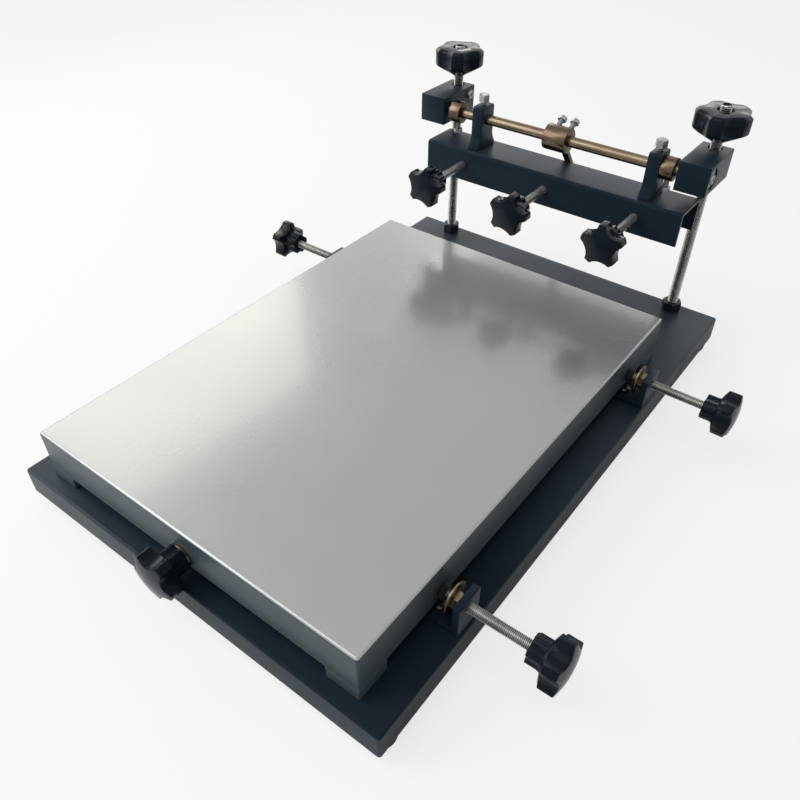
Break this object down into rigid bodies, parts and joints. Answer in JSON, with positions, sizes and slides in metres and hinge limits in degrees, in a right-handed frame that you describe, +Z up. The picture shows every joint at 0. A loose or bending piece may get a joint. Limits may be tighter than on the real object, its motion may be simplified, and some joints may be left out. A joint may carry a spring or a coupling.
{
  "type": "solder paste stencil printer",
  "caption": "Manual stencil printer: folded base, work platform set by star knob screws, and a hinged screw clamp for a stencil frame on threaded height posts",
  "frame": {"origin": "middle of the bounding box in plan, on the plane that the rubber feet stand on", "axes": "+X to the operator's right, +Y to the back where the frame clamp stands, +Z up"},
  "size_m": [0.52, 0.6246, 0.244],
  "materials": {
    "black_steel": "satin powder coat",
    "grey_steel": "light grey gloss paint with fine orange peel",
    "glide_steel": "blue-grey paint",
    "rubber": "matte",
    "black_plastic": "moulded, glossy",
    "black_nylon": "moulded, matte",
    "zinc_steel": "bright zinc",
    "yellow_zinc": "yellow zinc",
    "chrome_steel": "polished"
  },
  "bodies": {
    "base": {"base_tray": "black_steel", "rubber_feet": "rubber", "foot_screws": "zinc_steel", "side_brackets": "black_steel", "front_bracket": "black_steel", "bracket_screws": "zinc_steel", "side_nuts": "yellow_zinc", "side_washers": "yellow_zinc"},
    "front_carrier": {"front_washers": "yellow_zinc"},
    "front_adjuster": {"front_screw": "zinc_steel", "front_nut": "yellow_zinc", "front_knob": "black_plastic"},
    "platform": {"work_platform": "grey_steel", "platform_glides": "glide_steel"},
    "right_front_tip": {"right_front_cap": "black_nylon"},
    "right_front_adjuster": {"right_front_screw": "zinc_steel", "right_front_knob": "black_plastic"},
    "right_rear_tip": {"right_rear_cap": "black_nylon"},
    "right_rear_adjuster": {"right_rear_screw": "zinc_steel", "right_rear_knob": "black_plastic"},
    "left_rear_tip": {"left_rear_cap": "black_nylon"},
    "left_rear_adjuster": {"left_rear_screw": "zinc_steel", "left_rear_knob": "black_plastic"},
    "left_post_assembly": {"left_post": "zinc_steel", "left_post_nuts": "zinc_steel", "left_height_knob": "black_plastic"},
    "right_post_assembly": {"right_post": "zinc_steel", "right_post_nuts": "zinc_steel", "right_height_knob": "black_plastic"},
    "carriage": {"left_block": "black_steel", "right_block": "black_steel", "block_lock_screws": "chrome_steel", "shaft_end_screws": "zinc_steel", "hinge_shaft": "yellow_zinc", "end_collars": "yellow_zinc", "collar_screws": "chrome_steel", "stop_collar": "yellow_zinc", "stop_rod": "yellow_zinc", "stop_collar_screws": "chrome_steel"},
    "clamp": {"clamp_beam": "black_steel", "hinge_uprights": "black_steel", "friction_bolts": "chrome_steel", "weld_nuts": "zinc_steel"},
    "left_clamp_foot": {"left_clamp_pad": "black_nylon"},
    "left_clamp_handle": {"left_clamp_screw": "chrome_steel", "left_clamp_knob": "black_plastic"},
    "middle_clamp_foot": {"middle_clamp_pad": "black_nylon"},
    "middle_clamp_handle": {"middle_clamp_screw": "chrome_steel", "middle_clamp_knob": "black_plastic"},
    "right_clamp_foot": {"right_clamp_pad": "black_nylon"},
    "right_clamp_handle": {"right_clamp_screw": "chrome_steel", "right_clamp_knob": "black_plastic"}
  },
  "joints": [
    {"name": "front_carrier_slide", "type": "slide", "parent": "base", "child": "front_carrier", "axis": [0, 1, 0], "range_m": [-0.0045, 0.0045]},
    {"name": "front_knob_turn", "type": "hinge", "parent": "front_carrier", "child": "front_adjuster", "pos_m": [0, -0.29441, 0.0545], "axis": [0, 1, 0], "range_deg": [-1297, 1297]},
    {"name": "platform_side_slide", "type": "slide", "parent": "front_carrier", "child": "platform", "axis": [1, 0, 0], "range_m": [-0.0045, 0.0045]},
    {"name": "right_front_tip_slide", "type": "slide", "parent": "base", "child": "right_front_tip", "axis": [1, 0, 0], "range_m": [-0.0045, 0.0045]},
    {"name": "right_front_knob_turn", "type": "hinge", "parent": "right_front_tip", "child": "right_front_adjuster", "pos_m": [0, -0.19641, 0.0545], "axis": [1, 0, 0], "range_deg": [-1297, 1297]},
    {"name": "right_rear_tip_slide", "type": "slide", "parent": "base", "child": "right_rear_tip", "axis": [1, 0, 0], "range_m": [-0.0045, 0.0045]},
    {"name": "right_rear_knob_turn", "type": "hinge", "parent": "right_rear_tip", "child": "right_rear_adjuster", "pos_m": [0, 0.09359, 0.0545], "axis": [1, 0, 0], "range_deg": [-1297, 1297]},
    {"name": "left_rear_tip_slide", "type": "slide", "parent": "base", "child": "left_rear_tip", "axis": [1, 0, 0], "range_m": [-0.0045, 0.0045]},
    {"name": "left_rear_knob_turn", "type": "hinge", "parent": "left_rear_tip", "child": "left_rear_adjuster", "pos_m": [0, 0.08759, 0.0545], "axis": [1, 0, 0], "range_deg": [-1297, 1297]},
    {"name": "left_post_turn", "type": "hinge", "parent": "base", "child": "left_post_assembly", "pos_m": [-0.1395, 0.25109, 0.1], "axis": [0, 0, 1], "range_deg": [-1466, 11066]},
    {"name": "right_post_turn", "type": "hinge", "parent": "base", "child": "right_post_assembly", "pos_m": [0.1395, 0.25109, 0.1], "axis": [0, 0, 1], "range_deg": [-1466, 11066]},
    {"name": "height_slide", "type": "slide", "parent": "base", "child": "carriage", "axis": [0, 0, 1], "range_m": [-0.045, 0.006]},
    {"name": "clamp_tilt", "type": "hinge", "parent": "carriage", "child": "clamp", "pos_m": [0, 0.21559, 0.192], "axis": [-1, 0, 0], "range_deg": [0, 120]},
    {"name": "left_pad_slide", "type": "slide", "parent": "clamp", "child": "left_clamp_foot", "axis": [0, 1, 0], "range_m": [0, 0.024]},
    {"name": "left_clamp_turn", "type": "hinge", "parent": "left_clamp_foot", "child": "left_clamp_handle", "pos_m": [-0.093, -0.29441, 0.1475], "axis": [0, 1, 0], "range_deg": [0, 6950]},
    {"name": "middle_pad_slide", "type": "slide", "parent": "clamp", "child": "middle_clamp_foot", "axis": [0, 1, 0], "range_m": [0, 0.024]},
    {"name": "middle_clamp_turn", "type": "hinge", "parent": "middle_clamp_foot", "child": "middle_clamp_handle", "pos_m": [0.003, -0.29441, 0.1475], "axis": [0, 1, 0], "range_deg": [0, 6950]},
    {"name": "right_pad_slide", "type": "slide", "parent": "clamp", "child": "right_clamp_foot", "axis": [0, 1, 0], "range_m": [0, 0.024]},
    {"name": "right_clamp_turn", "type": "hinge", "parent": "right_clamp_foot", "child": "right_clamp_handle", "pos_m": [0.099, -0.29441, 0.1475], "axis": [0, 1, 0], "range_deg": [0, 6950]}
  ],
  "couplings": [
    {"joint": "front_knob_turn", "follows": "front_carrier_slide", "rad_per_m": 5026.5},
    {"joint": "right_front_tip_slide", "follows": "platform_side_slide", "ratio": 1},
    {"joint": "right_front_knob_turn", "follows": "platform_side_slide", "rad_per_m": 5026.5},
    {"joint": "right_rear_tip_slide", "follows": "platform_side_slide", "ratio": 1},
    {"joint": "right_rear_knob_turn", "follows": "platform_side_slide", "rad_per_m": 5026.5},
    {"joint": "left_rear_tip_slide", "follows": "platform_side_slide", "ratio": 1},
    {"joint": "left_rear_knob_turn", "follows": "platform_side_slide", "rad_per_m": 5026.5},
    {"joint": "left_post_turn", "follows": "height_slide", "rad_per_m": -4188.8},
    {"joint": "right_post_turn", "follows": "height_slide", "rad_per_m": -4188.8},
    {"joint": "left_clamp_turn", "follows": "left_pad_slide", "rad_per_m": 5026.5},
    {"joint": "middle_clamp_turn", "follows": "middle_pad_slide", "rad_per_m": 5026.5},
    {"joint": "right_clamp_turn", "follows": "right_pad_slide", "rad_per_m": 5026.5}
  ]
}
